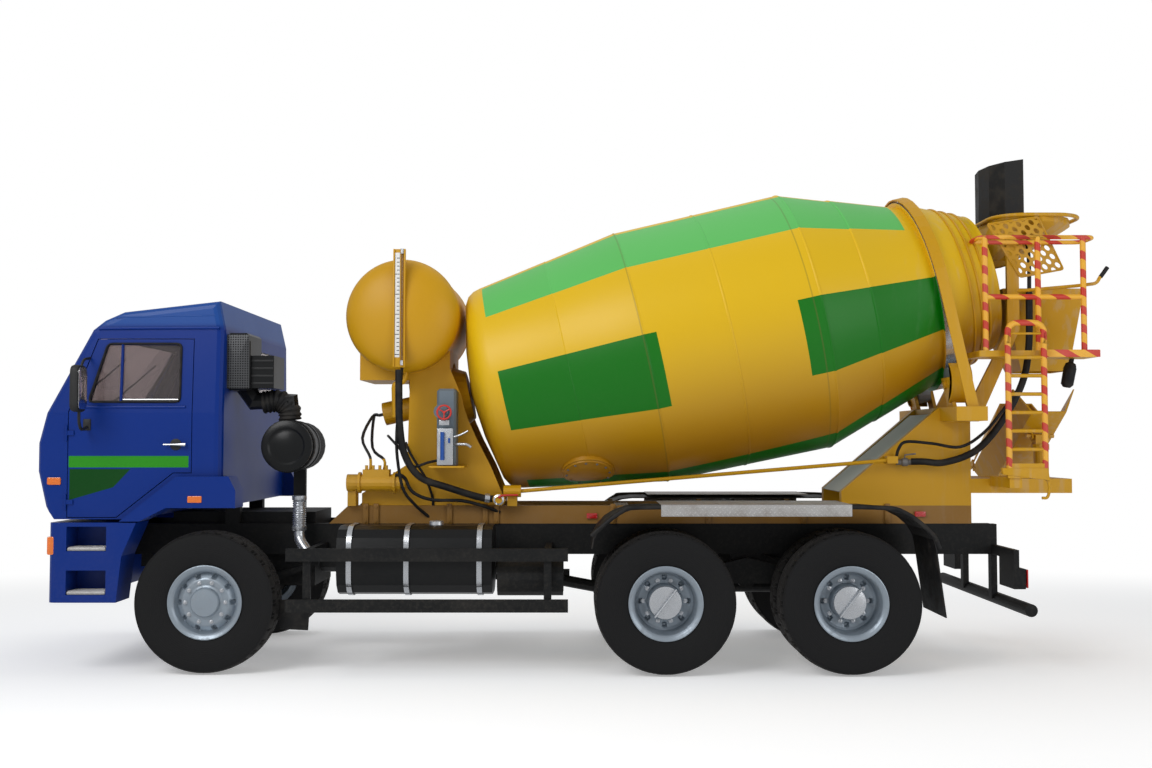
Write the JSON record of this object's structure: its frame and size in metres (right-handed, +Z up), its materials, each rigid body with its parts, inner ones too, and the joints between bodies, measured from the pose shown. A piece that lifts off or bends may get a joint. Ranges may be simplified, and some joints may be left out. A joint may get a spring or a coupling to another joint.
{
  "type": "concrete_mixer_truck",
  "caption": "Three-axle concrete mixer truck: tilting cab, tilted rotating drum between two pedestals, charging hopper, discharge funnel and swinging, folding chute",
  "frame": {"origin": "on the ground under the middle of the whole truck", "axes": "X runs from the front of the truck to its rear, Y from its left side to its right, Z up"},
  "size_m": [8.584, 3, 4.2],
  "materials": {
    "cab_blue": "satin",
    "mixer_yellow": "satin",
    "chassis_black": "satin",
    "rubber_black": "matte",
    "tyre_black": "matte",
    "rim_silver": "satin",
    "glass_tint": "polished",
    "trim_grey": "matte",
    "seat_fabric": "matte",
    "box_grey": "satin"
  },
  "bodies": {
    "chassis": {"frame_rails": "chassis_black", "subframe": "mixer_yellow", "bumper_steps": "cab_blue", "front_axle": "chassis_black", "rear_bogie": "chassis_black", "engine": "chassis_black", "fuel_tank": "chassis_black", "air_tanks": "chassis_black", "battery_box": "chassis_black", "silencer": "chassis_black", "side_guard_left": "chassis_black", "side_guard_right": "chassis_black", "air_filter": "chassis_black", "drum_gearbox": "mixer_yellow", "front_pedestal": "mixer_yellow", "water_tank": "mixer_yellow", "control_box": "box_grey", "rear_pedestal": "mixer_yellow", "water_pipe": "mixer_yellow", "water_hose": "rubber_black", "hopper": "mixer_yellow", "rubber_flap": "rubber_black", "discharge_funnel": "mixer_yellow", "platform": "mixer_yellow", "ladder": "mixer_yellow", "fender_left": "rubber_black", "fender_right": "rubber_black", "underrun_bar": "chassis_black", "hydraulic_pump": "mixer_yellow", "rear_hose": "rubber_black", "mesh_guard": "mixer_yellow"},
    "cab": {"cab_shell": "cab_blue", "front_panel": "cab_blue", "roof": "cab_blue", "windscreen": "glass_tint", "rear_window": "glass_tint", "dashboard": "trim_grey", "air_intake": "chassis_black", "driver_seat": "seat_fabric", "passenger_seat": "seat_fabric"},
    "door_left": {"door_left": "cab_blue", "door_glass_left": "glass_tint", "mirror_left": "trim_grey"},
    "door_right": {"door_right": "cab_blue", "door_glass_right": "glass_tint", "mirror_right": "trim_grey"},
    "knuckle_left": {"knuckle_left": "chassis_black"},
    "knuckle_right": {"knuckle_right": "chassis_black"},
    "wheel_front_left": {"wheel_front_left": "tyre_black"},
    "wheel_front_right": {"wheel_front_right": "tyre_black"},
    "wheel_middle_left": {"wheel_middle_left": "tyre_black"},
    "wheel_middle_right": {"wheel_middle_right": "tyre_black"},
    "wheel_rear_left": {"wheel_rear_left": "tyre_black"},
    "wheel_rear_right": {"wheel_rear_right": "tyre_black"},
    "drum": {"drum": "mixer_yellow"},
    "roller_left": {"roller_left": "rim_silver"},
    "roller_right": {"roller_right": "rim_silver"},
    "chute_carrier": {"chute_carrier": "mixer_yellow"},
    "chute": {"chute": "mixer_yellow"},
    "chute_extension": {"chute_extension": "mixer_yellow"}
  },
  "joints": [
    {"name": "cab_tilt", "type": "hinge", "parent": "chassis", "child": "cab", "pos_m": [-4.152, 0, 1.19], "axis": [0, -1, 0], "range_deg": [0, 50]},
    {"name": "door_left", "type": "hinge", "parent": "cab", "child": "door_left", "pos_m": [-4.057, -1.16, 1.222], "axis": [0, 0, -1], "range_deg": [0, 70]},
    {"name": "door_right", "type": "hinge", "parent": "cab", "child": "door_right", "pos_m": [-4.057, 1.16, 1.222], "axis": [0, 0, 1], "range_deg": [0, 70]},
    {"name": "steer_left", "type": "hinge", "parent": "chassis", "child": "knuckle_left", "pos_m": [-2.962, -0.8, 0.555], "axis": [0, 0, 1], "range_deg": [-34, 34]},
    {"name": "steer_right", "type": "hinge", "parent": "chassis", "child": "knuckle_right", "pos_m": [-2.962, 0.8, 0.555], "axis": [0, 0, 1], "range_deg": [-34, 34]},
    {"name": "spin_front_left", "type": "hinge", "parent": "knuckle_left", "child": "wheel_front_left", "pos_m": [-2.962, -1.02, 0.555], "axis": [0, 1, 0], "continuous": true},
    {"name": "spin_middle_left", "type": "hinge", "parent": "chassis", "child": "wheel_middle_left", "pos_m": [0.638, -0.925, 0.555], "axis": [0, 1, 0], "continuous": true},
    {"name": "spin_rear_left", "type": "hinge", "parent": "chassis", "child": "wheel_rear_left", "pos_m": [2.078, -0.925, 0.555], "axis": [0, 1, 0], "continuous": true},
    {"name": "spin_front_right", "type": "hinge", "parent": "knuckle_right", "child": "wheel_front_right", "pos_m": [-2.962, 1.02, 0.555], "axis": [0, 1, 0], "continuous": true},
    {"name": "spin_middle_right", "type": "hinge", "parent": "chassis", "child": "wheel_middle_right", "pos_m": [0.638, 0.925, 0.555], "axis": [0, 1, 0], "continuous": true},
    {"name": "spin_rear_right", "type": "hinge", "parent": "chassis", "child": "wheel_rear_right", "pos_m": [2.078, 0.925, 0.555], "axis": [0, 1, 0], "continuous": true},
    {"name": "drum_turn", "type": "hinge", "parent": "chassis", "child": "drum", "pos_m": [0.538, 0, 2.555], "axis": [0.9763, 0, 0.2164], "continuous": true},
    {"name": "roller_left", "type": "hinge", "parent": "chassis", "child": "roller_left", "pos_m": [3.10375, -0.56233, 2.30122], "axis": [0.9763, 0, 0.2164], "continuous": true},
    {"name": "roller_right", "type": "hinge", "parent": "chassis", "child": "roller_right", "pos_m": [3.10375, 0.56233, 2.30122], "axis": [0.9763, 0, 0.2164], "continuous": true},
    {"name": "chute_swing", "type": "hinge", "parent": "chassis", "child": "chute_carrier", "pos_m": [3.998, 0, 1.7403], "axis": [0, 0, 1], "range_deg": [-150, 0]},
    {"name": "chute_lift", "type": "hinge", "parent": "chute_carrier", "child": "chute", "pos_m": [3.998, 0, 1.86], "axis": [1, 0, 0], "range_deg": [-12, 17]},
    {"name": "chute_fold", "type": "hinge", "parent": "chute", "child": "chute_extension", "pos_m": [3.998, 1.05578, 1.56818], "axis": [-1, 0, 0], "range_deg": [0, 180]}
  ],
  "couplings": [
    {"joint": "steer_right", "follows": "steer_left", "ratio": 1},
    {"joint": "roller_left", "follows": "drum_turn", "ratio": -6},
    {"joint": "roller_right", "follows": "drum_turn", "ratio": -6}
  ]
}
